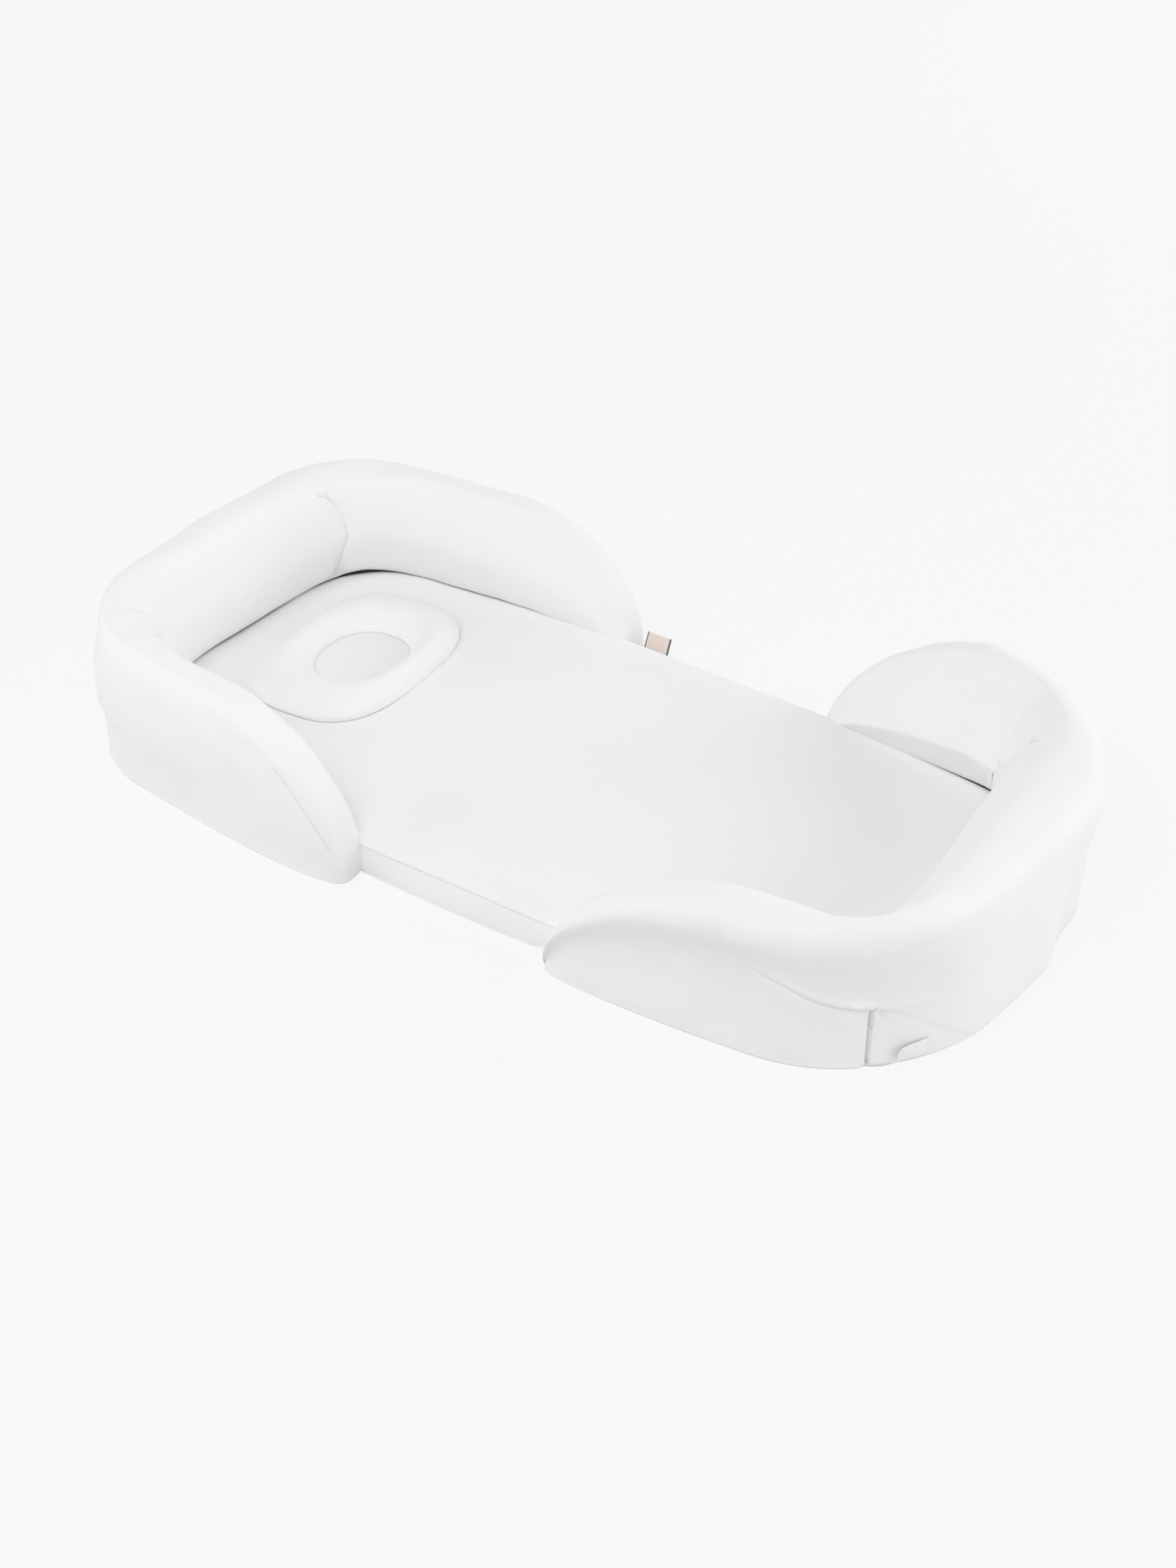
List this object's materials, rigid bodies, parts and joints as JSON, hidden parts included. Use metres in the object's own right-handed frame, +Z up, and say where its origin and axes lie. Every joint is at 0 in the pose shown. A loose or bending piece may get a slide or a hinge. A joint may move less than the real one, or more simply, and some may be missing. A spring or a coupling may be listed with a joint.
{
  "type": "infant lounger",
  "caption": "Low infant lounger: a thin mattress with a ring pillow, held between a U-shaped padded bumper at its head and another at its foot.",
  "frame": {"origin": "on the floor, below the middle of the whole lounger", "axes": "+X runs from the head end to the foot end, -Y is the near side, +Z is up"},
  "size_m": [0.8882, 0.474, 0.136],
  "materials": {
    "cover_cloth": "smooth matt knit",
    "base_cloth": "plain matt weave",
    "foam": "soft open foam",
    "hook_and_loop_tape": "napped tape",
    "label_ribbon": "woven ribbon"
  },
  "bodies": {
    "mattress": {"mattress_underside": "base_cloth", "mattress_foam": "foam", "mattress_side_border": "cover_cloth", "mattress_top_panel": "cover_cloth", "head_loop_patch": "hook_and_loop_tape", "foot_loop_patch": "hook_and_loop_tape"},
    "ring_pillow": {"pillow_underside": "cover_cloth", "pillow_ring_cover": "cover_cloth", "pillow_fill": "foam", "pillow_dimple_panel": "cover_cloth"},
    "head_bumper": {"head_near_wing_cover": "cover_cloth", "head_near_wing_foam": "foam", "head_end_cover": "cover_cloth", "head_end_foam": "foam", "head_end_band": "cover_cloth", "head_far_wing_cover": "cover_cloth", "head_far_wing_foam": "foam", "head_base_flap": "base_cloth", "head_hook_strip": "hook_and_loop_tape"},
    "foot_bumper": {"foot_near_wing_cover": "cover_cloth", "foot_near_wing_foam": "foam", "foot_end_cover": "cover_cloth", "foot_end_foam": "foam", "foot_end_band": "cover_cloth", "foot_far_wing_cover": "cover_cloth", "foot_far_wing_foam": "foam", "foot_base_flap": "base_cloth", "foot_hook_strip": "hook_and_loop_tape"},
    "side_label": {"side_label": "label_ribbon"},
    "pull_tab": {"foot_pull_tab": "cover_cloth"}
  },
  "joints": [
    {"name": "head_bumper_slide", "type": "slide", "parent": "mattress", "child": "head_bumper", "axis": [-1, 0, 0], "range_m": [0, 0.08]},
    {"name": "foot_bumper_slide", "type": "slide", "parent": "mattress", "child": "foot_bumper", "axis": [1, 0, 0], "range_m": [0, 0.08]},
    {"name": "ring_pillow_lift", "type": "slide", "parent": "mattress", "child": "ring_pillow", "axis": [0, 0, 1], "range_m": [0, 0.1]},
    {"name": "side_label_flex", "type": "hinge", "parent": "mattress", "child": "side_label", "pos_m": [-0.047, 0.2023, 0.0034], "axis": [1, 0, 0], "range_deg": [-55, 6]},
    {"name": "pull_tab_flex", "type": "hinge", "parent": "foot_bumper", "child": "pull_tab", "pos_m": [0.4189, -0.1484, 0.0052], "axis": [0.5644, 0.8255, 0], "range_deg": [0, 75]}
  ]
}
